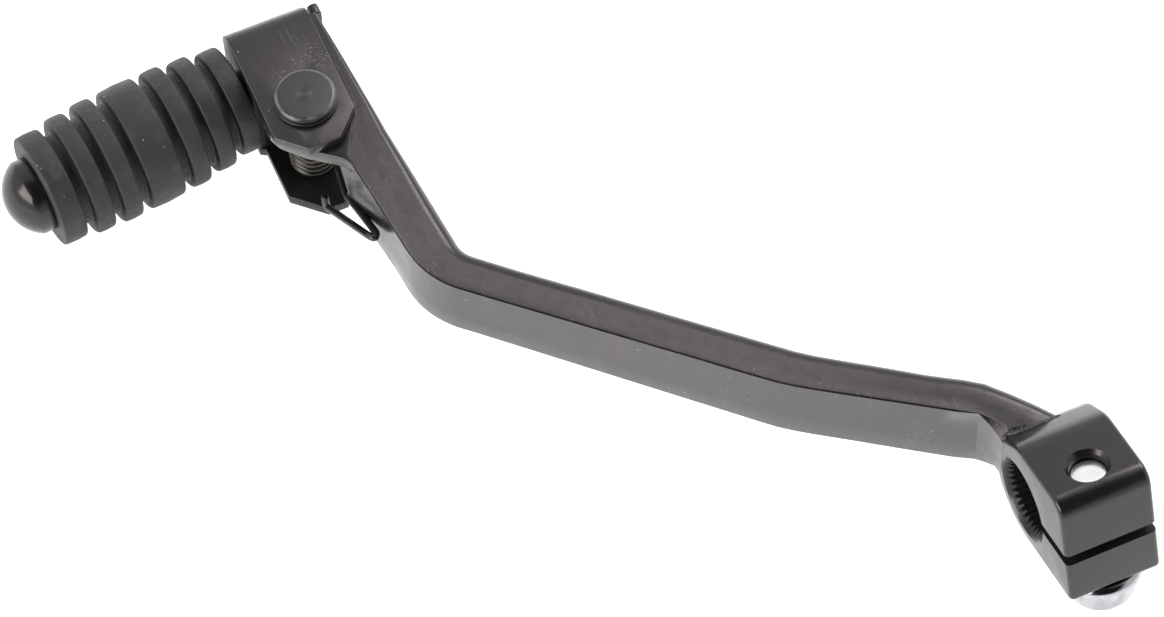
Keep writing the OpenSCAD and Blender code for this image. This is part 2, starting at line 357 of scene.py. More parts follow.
def paint(name, dark, light, rough, ior=1.62, scuffs=0.0, specks=0.5, peel=0.012, turn=0):
    """Satin black paint over steel, with cloudy tone, orange peel, dust specks and scuffs."""
    k = Tree(name)
    b = k.bsdf
    b.inputs["IOR"].default_value = ior
    b.inputs["Specular Tint"].default_value = (1.0, 0.94, 0.915, 1.0)
    cloud = k.noise(55, 4, 0.55)
    fine = k.noise(420, 3, 0.6)
    col = k.mix(k.ramp(cloud, 0.35, 0.68), dark, light)
    col = k.mix(k.ramp(fine, 0.3, 0.75, 0.0, 0.5), col, [c * 0.7 for c in dark])
    r = k.math("ADD", k.ramp(cloud, 0.3, 0.7, rough - 0.05, rough + 0.05),
               k.ramp(fine, 0.3, 0.7, -0.04, 0.05))
    # dust specks
    dots = k.ramp(k.voronoi(620), 0.10, 0.06)
    rare = k.ramp(k.noise(160, 2), 0.66 - 0.08 * specks, 0.70 - 0.08 * specks)
    dust = k.math("MULTIPLY", dots, rare)
    # scratches, long and thin, in two directions, and small nicks
    lines = k.noise(1.0, 3, 0.6, vec=k.mapped((70, 3600, 900), (0, 0, turn)))
    cross = k.noise(1.0, 3, 0.6, vec=k.mapped((120, 3000, 900), (0, 0, turn + 16)))
    patch = k.ramp(k.noise(95, 3, 0.6), 0.46, 0.64)
    nicks = k.math("MULTIPLY", k.ramp(k.noise(2600, 2, 0.5), 0.60, 0.66),
                   k.ramp(k.noise(150, 2, 0.5), 0.58, 0.64))
    marks = k.math("MAXIMUM", k.ramp(lines, 0.60, 0.70), k.ramp(cross, 0.66, 0.74))
    marks = k.math("MULTIPLY", marks, patch)
    marks = k.math("MAXIMUM", k.math("MULTIPLY", marks, 0.45), k.math("MULTIPLY", nicks, 0.8))
    marks = k.math("MULTIPLY", marks, scuffs)
    light_marks = k.math("MINIMUM", k.math("ADD", k.math("MULTIPLY", dust, 0.8), marks), 1.0)
    col = k.mix(light_marks, col, (0.33, 0.32, 0.31))
    k.link(col, b.inputs["Base Color"])
    k.link(k.math("ADD", r, k.math("MULTIPLY", marks, 0.18)), b.inputs["Roughness"])
    n = k.bump(k.noise(950, 3, 0.55), peel)
    n = k.bump(k.noise(140, 3, 0.5), 0.05, 0.6, n)
    n = k.bump(marks, 0.02, 0.5, n)
    k.link(n, b.inputs["Normal"])
    return k.mat


def rubber(name):
    """Matt black rubber: chalky and dusty on top, with painted shade darkening it towards its underside."""
    k = Tree(name)
    b = k.bsdf
    b.inputs["IOR"].default_value = 1.5
    cloud = k.noise(90, 4, 0.6)
    grain = k.noise(1500, 3, 0.6)
    col = k.mix(k.ramp(cloud, 0.3, 0.7), (0.020, 0.020, 0.0205), (0.030, 0.0295, 0.030))
    # painted shade: darker towards the underside; the same height also gathers the chalky dust on top
    high = k.ramp(k.split(k.co)[2], -4.0 * MM, 9.0 * MM)
    col = k.mix(high, (0.005, 0.005, 0.0053), col)
    chalk = k.math("MULTIPLY", k.ramp(k.noise(260, 5, 0.75), 0.48, 0.72, 0.0, 0.6),
                   k.ramp(high, 0.0, 1.0, 0.35, 1.0))
    col = k.mix(chalk, col, (0.058, 0.058, 0.060))
    dots = k.ramp(k.voronoi(560), 0.10, 0.05)
    rare = k.ramp(k.noise(120, 2), 0.58, 0.62)
    dust = k.math("MULTIPLY", dots, rare)
    col = k.mix(k.math("MULTIPLY", dust, 0.7), col, (0.36, 0.36, 0.36))
    k.link(col, b.inputs["Base Color"])
    r = k.math("ADD", k.ramp(cloud, 0.3, 0.7, 0.50, 0.64), k.ramp(grain, 0.3, 0.7, -0.04, 0.06))
    k.link(r, b.inputs["Roughness"])
    n = k.bump(grain, 0.06, 1.0)
    n = k.bump(k.noise(300, 4, 0.65), 0.10, 0.9, n)
    k.link(n, b.inputs["Normal"])
    return k.mat


def bare_metal(name, dark, light, rough, metallic, scale=600, bump=0.01):
    k = Tree(name)
    b = k.bsdf
    b.inputs["Metallic"].default_value = metallic
    cloud = k.noise(scale * 0.3, 3, 0.55)
    fine = k.noise(scale * 3, 2, 0.5)
    k.link(k.mix(k.ramp(cloud, 0.35, 0.65), dark, light), b.inputs["Base Color"])
    r = k.math("ADD", k.ramp(cloud, 0.3, 0.7, rough - 0.03, rough + 0.05),
               k.ramp(fine, 0.3, 0.7, -0.02, 0.03))
    k.link(r, b.inputs["Roughness"])
    k.link(k.bump(fine, bump), b.inputs["Normal"])
    return k.mat


def turned_paint(name, centre, dark, light, rough):
    """Painted turned head: faint rings about the hinge axis, and a lighter rim in places, painted highlight
    and wear.
    """
    ring_pitch = 0.42
    rim_in, rim_full, rim_past, rim_out = 4.35, 4.6, 4.75, 5.0      # radii of the lighter rim, painted highlight and wear
    k = Tree(name)
    b = k.bsdf
    b.inputs["IOR"].default_value = 1.6
    m = k.add("ShaderNodeMapping")
    m.inputs["Location"].default_value = (-centre[0] * MM, -centre[1] * MM, 0)
    k.link(k.co, m.inputs["Vector"])
    at = k.split(m.outputs[0])
    rad = k.math("SQRT", k.math("ADD", k.math("MULTIPLY", at[0], at[0]), k.math("MULTIPLY", at[1], at[1])))
    rings = k.math("SINE", k.math("MULTIPLY", rad, 2 * math.pi / (ring_pitch * MM)))
    near = k.ramp(rad, 0.0024, 0.0006, 0.15, 1.0)
    height = k.math("MULTIPLY", rings, near)
    cloud = k.noise(120, 4, 0.6)
    rim = k.math("MULTIPLY", k.ramp(rad, rim_in * MM, rim_full * MM),
                 k.ramp(rad, rim_past * MM, rim_out * MM, 1.0, 0.0))
    # painted highlight and wear: the rim is lighter in patches
    rim_light_and_wear = k.math("MULTIPLY", rim, k.ramp(k.noise(210, 3, 0.6), 0.34, 0.6, 0.05, 0.45))
    col = k.mix(k.ramp(cloud, 0.35, 0.68), dark, light)
    k.link(k.mix(rim_light_and_wear, col, (0.30, 0.29, 0.28)), b.inputs["Base Color"])
    k.link(k.ramp(cloud, 0.3, 0.7, rough - 0.04, rough + 0.06), b.inputs["Roughness"])
    n = k.bump(height, 0.03, 0.6)
    k.link(k.bump(k.noise(900, 3, 0.55), 0.012, 1.0, n), b.inputs["Normal"])
    return k.mat


BLACK_D = (0.012, 0.0110, 0.0108)
BLACK_L = (0.019, 0.0174, 0.0170)
BAR_TURN = -47                      # scratches run along the bar
M_ARM = paint("arm_black", BLACK_D, BLACK_L, 0.24, ior=1.55, scuffs=0.25, specks=0.6, turn=BAR_TURN)
M_FRONT = paint("arm_front_black", BLACK_D, BLACK_L, 0.24, ior=1.78, scuffs=0.25, specks=0.6,
                turn=BAR_TURN)
# painted shade: a darker copy of the black paint, for the bore, slot and bolt hole
M_HOLE_SHADE = paint("hole_painted_shade", (0.006, 0.0055, 0.005), (0.012, 0.011, 0.010), 0.45, ior=1.45, specks=0.2)
# painted shade: a darker copy of the black paint, for the bracket's inner faces, the lower ear's edges and
# the side facing the peg
M_BRACKET_SHADE = paint("bracket_painted_shade", (0.007, 0.0065, 0.006), (0.013, 0.012, 0.0115), 0.42, ior=1.42,
                 specks=0.3)
# painted highlight: a lighter copy of the paint, with scuffs, for the top ear's rounded edges on the -Y and
# +X sides
M_EDGE_HIGHLIGHT = paint("edge_painted_highlight", (0.05, 0.047, 0.046), (0.16, 0.155, 0.15), 0.3, scuffs=0.6, specks=1.0)
# painted shade: the clamp's paint is a darker copy of the bar's
M_BOSS_SHADED = paint("boss_black_painted_shade", (0.009, 0.0083, 0.0081), (0.014, 0.0129, 0.0126), 0.22, ior=1.54,
               scuffs=0.12, specks=0.3)
M_WELD = paint("weld_black", BLACK_D, BLACK_L, 0.42, scuffs=0.5, specks=1.6, peel=0.05)
M_BRACKET = paint("bracket_black", BLACK_D, BLACK_L, 0.27, ior=1.58, scuffs=0.55, specks=1.0)
M_RIVET = turned_paint("rivet_black", HINGE, BLACK_D, BLACK_L, 0.34)
M_STUD = paint("stud_black", (0.010, 0.0095, 0.009), (0.016, 0.015, 0.0145), 0.20, ior=1.5,
               scuffs=0.1, specks=0.4, peel=0.02)
# painted shade: the bare wire's colour is darkened for the shade inside the clevis
M_SPRING = bare_metal("spring_wire", (0.028, 0.0255, 0.022), (0.08, 0.073, 0.064), 0.22, 0.7)
M_LEG = paint("leg_black", (0.008, 0.0075, 0.007), (0.016, 0.015, 0.014), 0.28, scuffs=0.3, specks=0.5)
M_BOLT = bare_metal("bolt_zinc", (0.36, 0.365, 0.38), (0.50, 0.505, 0.52), 0.12, 1.0, 900, 0.004)
# painted light: a brighter copy of the zinc for the bolt's end face
M_END_LIT = bare_metal("bolt_end_painted_light", (0.84, 0.845, 0.85), (0.93, 0.93, 0.94), 0.22, 0.9, 900, 0.004)
M_RUBBER = rubber("sleeve_rubber")

# ---------------------------------------------------------------- arm
# Stations along the bar, in plan: a point on its front face and one on its back face.
ROOT_STATION = ((-97.5, -80.72), (-100.0, -72.9))       # where the bar meets the hinge tongue
BEND = (-78.88, -62.72)                                 # centre of the bend's outer arc
BEND_R = 16
BACK_BEND = (-76.33, -65.705)                           # and of its inner arc
BACK_BEND_R = 5.0
TURN = (-84.4, -43.1)                                   # the outer arc's first and last angle
BACK_TURN = (-85.5, TURN[1])
stations = [((-125.3, -76.05), (-125.3, -74.9)), ((-120.0, -76.05), (-119.9, -74.35)),
            ((-113.0, -76.05), (-112.8, -73.8)), ((-106.4, -76.05), (-106.0, -73.35)),
            ((-103.0, -77.8), (-103.5, -73.15)), ROOT_STATION,
            ((-96.2, -80.5), (-96.8, -72.6)), ((-90.0, -79.88), (-90.3, -71.93)),
            ((-83.5, -79.25), (-83.8, -71.31))]
stations += list(zip(arc(*BEND, BEND_R, *TURN, 10), arc(*BACK_BEND, BACK_BEND_R, *BACK_TURN, 10)))
stations += [((-61.0, -67.03), (-66.2, -62.3)), ((-49.0, -54.2), (-54.2, -49.45)),
             ((-40.0, -44.6), (-45.0, -39.6)), ((-33.5, -37.66), (-38.3, -32.45)),
             ((-31.2, -35.15), (-35.9, -29.85)), ((-29.5, -33.0), (-34.0, -27.5)),
             ((-27.9, -30.8), (-32.2, -25.05)), ((-24.0, -25.1), (-29.0, -20.5)),
             ((-18.0, -16.3), (-23.7, -13.1)), ((-15.0, -11.9), (-20.4, -8.0)),
             ((-13.2, -9.15), (-18.5, -5.5)), ((-11.0, -8.35), (-14.8, -2.3)),
             ((-9.2, -7.87), (-11.3, 0.4)), ((-7.35, -7.77), (-7.35, 3.2))]
# x, then how far the foot of the front face stands out past its top
LEAN = ((-130, 0.3), (-97, 1.3), (-88.0, 1.0), (-81, 0.7), (-74, 0.8), (-66, 0.5), (-30, 0.6),
        (-14, 0.5), (-9, 0.0))
# z, then the bar's front corner beside the tongue, in plan from the hinge
ROOT = ((-4.6, 12.0, 2.3), (-2.2, 11.5, 1.95), (0.0, 11.2, 1.7), (2.2, 10.95, 1.45),
        (3.6, 10.6, 1.3), (4.2, 10.7, 2.2), (8, 10.9, 2.4))
NECK_X, NECK_RUN, NECK_RISE = -13.5, 4.5, 3.3           # the underside rises to the clamp
NECK_END_X, NECK_END_Z = -9, -4.6
CUT_X, CUT_RUN, CUT = -13.2, 4.2, 2.2                   # bevel on the top front edge, by the clamp
BACK_R_X, BACK_R_RUN, BACK_R = -106, 22, (1.1, 1.4)     # the top back edge's radius, and its growth
BURR_X, BURR = -97.3, 0.18                              # flash line along the top front edge
LUMP_SCALE, LUMP = 0.11, 0.05                           # slow waviness of the forging
STATION_STEP = 2.2


def bar_section(f, b, first):
    """Closed outline of the bar at one station, as points in space (millimetres)."""
    f, b = Vector((*f, 0)), Vector((*b, 0))
    w = (b - f).length
    out = (b - f).normalized()
    if f.x < NECK_END_X:
        zb = low_z(f.x) + NECK_RISE * max(0.0, (f.x - NECK_X) / NECK_RUN)
    else:
        zb = NECK_END_Z
    zt = ARM_TOP
    cut = CUT * clamp01((f.x - CUT_X) / CUT_RUN)
    lean = along(LEAN, f.x)[0]
    burr = BURR if f.x > BURR_X and cut == 0 else 0.0
    rf = min(0.6, 0.25 * w)
    rb = min(1.1, 0.3 * w)
    r = min(0.42 * w, BACK_R[0] + BACK_R[1] * clamp01((f.x - BACK_R_X) / BACK_R_RUN))
    pts = []
    for i in range(5):
        a = math.radians(270 - 90 * i / 4)
        pts.append((rf + rf * math.cos(a) - lean, zb + rf + rf * math.sin(a)))
    for t in (0.33, 0.66):
        pts.append((-lean * (1 - t), zb + (zt - zb) * t))
    pts += [(0, zt - 0.5 - cut), (-burr, zt - 0.24 - cut * 0.9), (-burr, zt - 0.08 - cut * 0.5),
            (0.1 + cut * 0.7, zt + burr * 0.3), (0.4 + cut * 0.7, zt - 0.02)]
    pts.append((0.5 + (w - r - 0.5) * 0.5, zt))
    for i in range(8):
        a = math.radians(90 - 90 * i / 7)
        pts.append((w - r + r * math.cos(a), zt - r + r * math.sin(a)))
    pts.append((w, (zt + zb) / 2))
    for i in range(5):
        a = math.radians(-90 * i / 4)
        pts.append((w - rb + rb * math.cos(a), zb + rb + rb * math.sin(a)))
    pts.append((w / 2, zb))
    res = []
    for u, z in pts:
        p = f + out * u
        p.z = z
        if first and u < w * 0.4:
            x, y = along(ROOT, z)
            p.x, p.y = HINGE[0] + x + max(0, u) * 0.3, HINGE[1] + y + max(0, u)
        res.append(p)
    return res


FLASH = range(7, 10)                # the section's points on the flash line


def dense(stn, step):
    """Adds stations along the straight stretches."""
    out = []
    for (fa, ba), (fb, bb) in zip(stn, stn[1:]):
        n = max(1, round((Vector(fb) - Vector(fa)).length / step))
        for i in range(n):
            t = i / n
            out.append((tuple(Vector(fa).lerp(Vector(fb), t)), tuple(Vector(ba).lerp(Vector(bb), t))))
    out.append(stn[-1])
    return out


bm = bmesh.new()
rings = []
for f, b in dense(stations, STATION_STEP):
    first = abs(f[0] - ROOT_STATION[0][0]) < 0.01
    ring = []
    for i, p in enumerate(bar_section(f, b, first)):
        # nicks in the flash line along the front top edge
        if i in FLASH and -96 < f[0] < -14:
            j = noise.noise(Vector((p.x * 0.55, p.y * 0.55, 3.1)))
            p = p + Vector((0, 0, -0.10 * max(0, j)))
            p.y += 0.16 * max(0, j - 0.15)
        q = p * LUMP_SCALE
        p = p + Vector((LUMP * noise.noise(q + Vector((9, 0, 0))), 0, LUMP * noise.noise(q)))
        ring.append(bm.verts.new(p * MM))
    rings.append(ring)
skin(bm, rings, caps=True)
tongue_plan = arc(HINGE[0], HINGE[1], 7.3, 100, 300, 26)
tongue_side = [(4.1, -6.0), (7.3, -3.1), (9.2, -0.7), (10.4, 0.9), (11.5, 2.0), (13.2, 2.72), (16.5, 3.1)]
tongue_plan += [(HINGE[0] + x, HINGE[1] + y) for x, y in rounded(tongue_side, 0.8)]
tongue_plan += [(HINGE[0] + 17, HINGE[1] + 8.0), (HINGE[0] + 2, HINGE[1] + 8.6)]
tongue = scratch_obj(prism(tongue_plan, ARM_TOP - TONGUE, ARM_TOP - 0.03), "tongue")
tongue = bevel(tongue, 0.25, 2, 50)
bm.from_mesh(tongue.data)
bpy.data.objects.remove(tongue)
arm = finish_mesh("arm_bar", bm, "lever", M_ARM, 32, ("lever_arm",))
arm.data.materials.append(M_FRONT)
for p in arm.data.polygons:
    if p.normal.y < -0.3 and abs(p.normal.z) < 0.4:
        p.material_index = 1

# ---------------------------------------------------------------- clamp
CLAMP = Matrix.Rotation(math.radians(CLAMP_TURN), 4, "Y")
TO_XZ = Matrix.Rotation(math.radians(90), 4, "X")       # plan x, y become clamp x, z
AT_BOLT = Matrix.Translation((BOLT_X * MM, 0, 0))
SHOULDER_R = 8.0
END_R = (1.3, 3.1)                                      # the flat end's lower and upper corner
outline = arc(2.31, JAW_TOP - SHOULDER_R, SHOULDER_R, 91, 117, 12)
outline += arc(0, CLAMP_ROUND_R - JAW_LOW, CLAMP_ROUND_R, 119, 268, 60)
outline += arc(CLAMP_END - END_R[0], JAW_FLOOR + END_R[0], END_R[0], -90, 0, 6)
outline += arc(CLAMP_END - END_R[1], JAW_TOP - END_R[1], END_R[1], 0, 90, 12)
bm = prism(outline, -CLAMP_W / 2, CLAMP_W / 2)
bmesh.ops.transform(bm, matrix=TO_XZ, verts=bm.verts)
boss = bevel(scratch_obj(bm, "boss"), 0.85, 5, 50)

# cutter for the splined bore, which opens to a chamfer at each mouth
TEETH = 36
TOOTH_STEPS = 8
STEPS = TEETH * TOOTH_STEPS
TOOTH_TIP_R, TOOTH_H = 5.9, 0.62
MOUTH_R, MOUTH_SLOPE, MOUTH_Y = 7.2, 0.86, 7.75
bm = bmesh.new()
rings = []
for y in (-9.0, -7.75, -7.4, -7.05, -6.7, -6.35, 6.35, 6.7, 7.05, 7.4, 7.75, 9.0):
    mouth = MOUTH_R - (MOUTH_Y - min(abs(y), 8.2)) * MOUTH_SLOPE
    ring = []
    for i in range(STEPS):
        a = 2 * math.pi * i / STEPS
        tooth = abs(((i / TOOTH_STEPS) % 1.0) - 0.5) * 2
        r = max(TOOTH_TIP_R + TOOTH_H * clamp01((tooth - 0.3) / 0.4), mouth)
        ring.append(bm.verts.new((r * MM * math.cos(a), y * MM, r * MM * math.sin(a))))
    rings.append(ring)
skin(bm, rings, caps=True)
boss = boolean(boss, scratch_obj(bm, "bore"))
SLOT_CUT = (28, 20)                                     # the slot's cutter, in x and y
bm = bmesh.new()
bmesh.ops.create_cube(bm, size=1, matrix=Matrix.Translation((SLOT_CUT[0] / 2 * MM, 0, 0)) @
                      Matrix.Diagonal((SLOT_CUT[0] * MM, SLOT_CUT[1] * MM, SLOT * MM, 1)))
boss = boolean(boss, scratch_obj(bm, "slot"))
TAP_R, TAP_ROOT_R, TAP_PITCH = 2.98, 3.25, 0.95
CLEAR_R = 3.3
thread = [(0.2, 0), (0.2, TAP_R)]
z = JAW_TOP - 7.0
while z < JAW_TOP - 0.75:
    thread += [(z, TAP_R), (z + 0.5, TAP_R), (z + 0.62, TAP_ROOT_R), (z + 0.8, TAP_ROOT_R)]
    z += TAP_PITCH
thread += [(JAW_TOP - 0.62, 3.02), (JAW_TOP + 0.02, 3.62), (JAW_TOP + 2, 3.9), (JAW_TOP + 2, 0)]
boss = boolean(boss, scratch_obj(lathe(thread, AT_BOLT, 56), "tap"))
clear = [(-14, 0), (-14, CLEAR_R), (0.2, CLEAR_R), (0.2, 0)]
boss = boolean(boss, scratch_obj(lathe(clear, AT_BOLT, 48), "clear"))
bm = to_bm(boss)
bmesh.ops.transform(bm, matrix=CLAMP, verts=bm.verts)
boss = finish_mesh("boss_clamp", bm, "lever", M_BOSS_SHADED, 30, ("spline_boss",))
boss.data.materials.append(M_HOLE_SHADE)
INTO_CLAMP = CLAMP.inverted()
# the bore, slot and bolt hole take the painted shade
for p in boss.data.polygons:
    c = INTO_CLAMP @ p.center / MM
    in_bore = math.hypot(c.x, c.z) < 6.75 and abs(c.y) < 7.5
    in_slot = (abs(c.z) < SLOT / 2 + 0.02 and c.x > 5 and abs(c.x - CLAMP_END) > 0.3
               and abs(c.y) < 7.3)
    in_hole = math.hypot(c.x - BOLT_X, c.y) < 3.4 and abs(c.z) < JAW_TOP - 0.45
    if in_bore or in_slot or in_hole:
        p.material_index = 1

# ---------------------------------------------------------------- rough bead at the junction
BEAD_STEPS = 40
BEAD_AT = (-7.6, -7.2, 6.84)
BEAD_LENGTH = 9.2
BEAD_R = 0.46
BEAD_ROUGH = 0.4                    # the share of its length that is rough, from the front
SPATTER_Z = 7.02
SPATTER = ((-8.75, -5.3, 0.34), (-8.9, -4.7, 0.26), (-8.55, -4.6, 0.3), (-9.15, -5.15, 0.2),
           (-8.45, -3.7, 0.3), (-8.6, -6.2, 0.3))       # x, y and radius


def blob(bm, x, y, z, r):
    bmesh.ops.create_icosphere(bm, subdivisions=2, radius=r * MM,
                               matrix=Matrix.Translation((x * MM, y * MM, z * MM)))


bm = bmesh.new()
for i in range(BEAD_STEPS):
    t = i / (BEAD_STEPS - 1)
    lump = noise.noise(Vector((i * 0.55, 0, 0)))
    rough = max(0.0, 1 - t / BEAD_ROUGH)
    x = BEAD_AT[0] + 0.25 * rough * lump - 0.15 * rough
    y = BEAD_AT[1] + BEAD_LENGTH * t
    r = BEAD_R + 0.1 * rough + 0.22 * rough * noise.noise(Vector((i * 0.8, 5, 1)))
    blob(bm, x, y, BEAD_AT[2], r)
for x, y, r in SPATTER:
    blob(bm, x, y, SPATTER_Z, r)
bead = scratch_obj(bm, "bead")
mod = bead.modifiers.new("r", "REMESH")
mod.mode = "VOXEL"
mod.voxel_size = 0.13 * MM
bm = bake(bead)
for v in bm.verts:
    q = v.co / MM
    v.co += v.normal * MM * (0.10 * noise.noise(q * 1.1) + 0.05 * noise.noise(q * 3.1))
finish_mesh("boss_bead", bm, "lever", M_WELD, 60, ("boss_weld",))

# ---------------------------------------------------------------- pinch bolt
HEX_R = 5.77
HEX_LOW = JAW_FLOOR - 6.3
THREAD_ROOT_R, THREAD_PITCH = 2.5, 0.85
flange = rounded([(JAW_FLOOR - 1.52, 0), (JAW_FLOOR - 1.52, 6.8), (JAW_FLOOR - 0.75, 6.75),
                  (JAW_FLOOR - 0.02, 6.2), (JAW_FLOOR - 0.02, SHANK_R)], 0.3)
shank = [(JAW_FLOOR + 0.3, SHANK_R), (-1.6, SHANK_R)]
z = -1.5
while z < BOLT_END - 0.9:
    shank += [(z, SHANK_R), (z + 0.15, SHANK_R), (z + 0.45, THREAD_ROOT_R), (z + 0.6, THREAD_ROOT_R)]
    z += THREAD_PITCH
shank += [(BOLT_END - 0.35, SHANK_R), (BOLT_END - 0.05, 2.86), (BOLT_END, 2.8),
          (BOLT_END - 0.11, 2.6), (BOLT_END - 0.11, 0)]
bm = lathe(flange + shank, AT_BOLT, 64)
bmesh.ops.transform(bm, matrix=CLAMP, verts=bm.verts)
hexagon = [(BOLT_X + HEX_R * math.cos(math.radians(60 * i)), HEX_R * math.sin(math.radians(60 * i)))
           for i in range(6)]
head = scratch_obj(prism(hexagon, HEX_LOW, JAW_FLOOR - 1.4), "hex")
crown = [(HEX_LOW, 0), (HEX_LOW, 4.75), (JAW_FLOOR - 5.3, 5.45), (JAW_FLOOR - 4.6, 5.72),
         (JAW_FLOOR, 5.72), (JAW_FLOOR, 0)]
head = boolean(head, scratch_obj(lathe(crown, AT_BOLT, 64), "cone"), "INTERSECT")
head_bm = to_bm(bevel(head, 0.18, 2, 30))
bmesh.ops.transform(head_bm, matrix=CLAMP, verts=head_bm.verts)
bm.from_mesh(to_mesh("bolt_head", head_bm))
finish_mesh("bolt_flanged", bm, "lever", M_BOLT, 30, ("pinch_bolt",))

# the bolt's end face, a brighter copy of the zinc: painted light
bm = lathe([(BOLT_END, 2.8), (BOLT_END + 0.03, 2.68), (BOLT_END + 0.05, 1.2), (BOLT_END + 0.05, 0)],
           AT_BOLT, 64)
bmesh.ops.transform(bm, matrix=CLAMP, verts=bm.verts)
bmesh.ops.solidify(bm, geom=bm.faces[:], thickness=0.08 * MM)
finish_mesh("bolt_end", bm, "lever", M_END_LIT, 30)

# ---------------------------------------------------------------- folding bracket
# the CAD's own plate, with its edges rounded
bm = bmesh.new()
bm.from_mesh(NODES["tip_bracket"].data)
bmesh.ops.remove_doubles(bm, verts=bm.verts, dist=2e-6)
bmesh.ops.dissolve_limit(bm, angle_limit=math.radians(1.0), verts=bm.verts, edges=bm.edges)
bm = to_bm(bevel(scratch_obj(bm), 0.55, 4, 38))
plate = finish_mesh("bracket_plate", bm, "toe_tip", M_BRACKET, 40, ("tip_bracket",))
plate.data.materials.append(M_BRACKET_SHADE)
plate.data.materials.append(M_EDGE_HIGHLIGHT)
FLOOR_TOP = FLOOR_Z + PLATE
ROOF = EAR_TOP - PLATE
for p in plate.data.polygons:
    c, n = p.center / MM, p.normal
    x, y = c.x - HINGE[0], c.y - HINGE[1]
    on_floor = abs(c.z - FLOOR_TOP) < 0.05 and n.z > 0.9
    on_roof = abs(c.z - ROOF) < 0.05 and n.z < -0.9
    faces_in = (x > -17.5 and n.x > 0.5) or (-6 < y < 0 and n.y > 0.7)
    on_wall = faces_in and x < 0 and FLOOR_Z + 1 < c.z < EAR_TOP - 1
    low_edge = c.z < FLOOR_TOP + 0.1 and abs(n.z) < 0.5 and n.y < 0.3
    to_peg = n.y < -0.5 and x < -6 and c.z > FLOOR_TOP
    on_edge = 0.35 < n.z < 0.93 and c.z > EAR_TOP - 0.3 and (n.y < -0.2 or n.x > 0.3)
    # these faces take the painted shade
    if on_floor or on_roof or low_edge or to_peg or on_wall:
        p.material_index = 1
    # the top ear's rounded edges on these sides take the painted highlight
    elif on_edge:
        p.material_index = 2

# ---------------------------------------------------------------- rivet
AT_HINGE = Matrix.Translation((HINGE[0] * MM, HINGE[1] * MM, 0))
RIVET_R = 2.5
rivet = [(FLOOR_Z - 1.75, 0)]
rivet += rounded([(FLOOR_Z - 1.75, 2.4), (FLOOR_Z - 1.3, 3.9), (FLOOR_Z - 0.03, 4.4),
                  (FLOOR_Z - 0.03, RIVET_R)], 0.5)
rivet += [(FLOOR_Z + 1, RIVET_R), (EAR_TOP - 1, RIVET_R), (EAR_TOP + 0.03, RIVET_R)]
rivet += rounded([(EAR_TOP + 0.03, RIVET_R), (EAR_TOP + 0.03, 5.23), (EAR_TOP + 0.62, 5.23),
                  (EAR_TOP + 0.7, 5.02), (EAR_TOP + 0.8, 5.12), (EAR_TOP + 1.45, 5.1),
                  (EAR_TOP + 1.95, 4.55), (EAR_TOP + 1.97, 2.0)], 0.18, 3)
rivet.append((EAR_TOP + 1.98, 0))
finish_mesh("rivet_hinge", lathe(rivet, AT_HINGE, 96), "toe_tip", M_RIVET, 34,
            ("hinge_rivet",))

# ---------------------------------------------------------------- torsion spring
COIL_START = 200                    # degrees
coil_top = ARM_TOP - TONGUE - WIRE / 2 - 0.06
coil_low = FLOOR_TOP + WIRE / 2 + 0.06
path = []
for i in range(int(TURNS * COIL_STEPS) + 1):
    a = 2 * math.pi * i / COIL_STEPS + math.radians(COIL_START)
    path.append((HINGE[0] + COIL_R * math.cos(a), HINGE[1] + COIL_R * math.sin(a),
                 coil_top + (coil_low - coil_top) * i / (TURNS * COIL_STEPS)))
coil = tube(path, (coil_top - coil_low) / TURNS / 2 * 0.99, 12)
finish_mesh("spring_coil", coil, "toe_tip", M_SPRING, 60, ("torsion_spring",))
# the leg, from the hinge's axis: out along the bar's front face, and back under it
leg = [(-1.7, 3.9, -5.6), (1.54, 2.9, -5.6), (11.4, 1.5, -4.5), (12.4, 1.6, -3.7), (23.2, 2.25, 1.3),
       (24.1, 1.6, 1.5), (23.0, 0.95, 1.2), (11.0, -1.98, -5.9), (10.7, -1.98, -3.2)]
hinge = Vector((*HINGE, 0))
leg_path = [Vector(p) + hinge for p in rounded(leg, 0.9, 5)]
finish_mesh("spring_leg", tube(leg_path, WIRE / 2, 16), "toe_tip", M_LEG, 60)

# ---------------------------------------------------------------- peg
AT_PEG = (Matrix.Translation(Vector(PEG) * MM) @ Matrix.Rotation(math.radians(PEG_TILT), 4, "Z")
          @ Matrix.Rotation(math.radians(90), 4, "X"))
STUD_R = 4.98
COLLAR_R = 6.4
DOME_AT, DOME_R, DOME_FROM, DOME_STEPS = 43.24, 7.2, 62, 12
stud = [(3.25, 0)] + rounded([(3.25, 3.6), (3.7, 4.85), (4.6, 4.85), (4.6, 4.0)], 0.3)
stud += [(7.85, 4.0), (7.9, STUD_R), (RUBBER[1] - 0.5, STUD_R), (RUBBER[1] + 0.03, STUD_R)]
stud += rounded([(RUBBER[1] + 0.03, 5.0), (RUBBER[1] + 0.03, COLLAR_R), (46.2, COLLAR_R)], 0.25)
for i in range(DOME_STEPS + 1):
    a = math.radians(DOME_FROM * (1 - i / DOME_STEPS))
    stud.append((DOME_AT + DOME_R * math.cos(a), DOME_R * math.sin(a) if i < DOME_STEPS else 0))
finish_mesh("stud_domed", lathe(stud, AT_PEG, 72), "toe_tip", M_STUD, 40, ("peg_stud",))

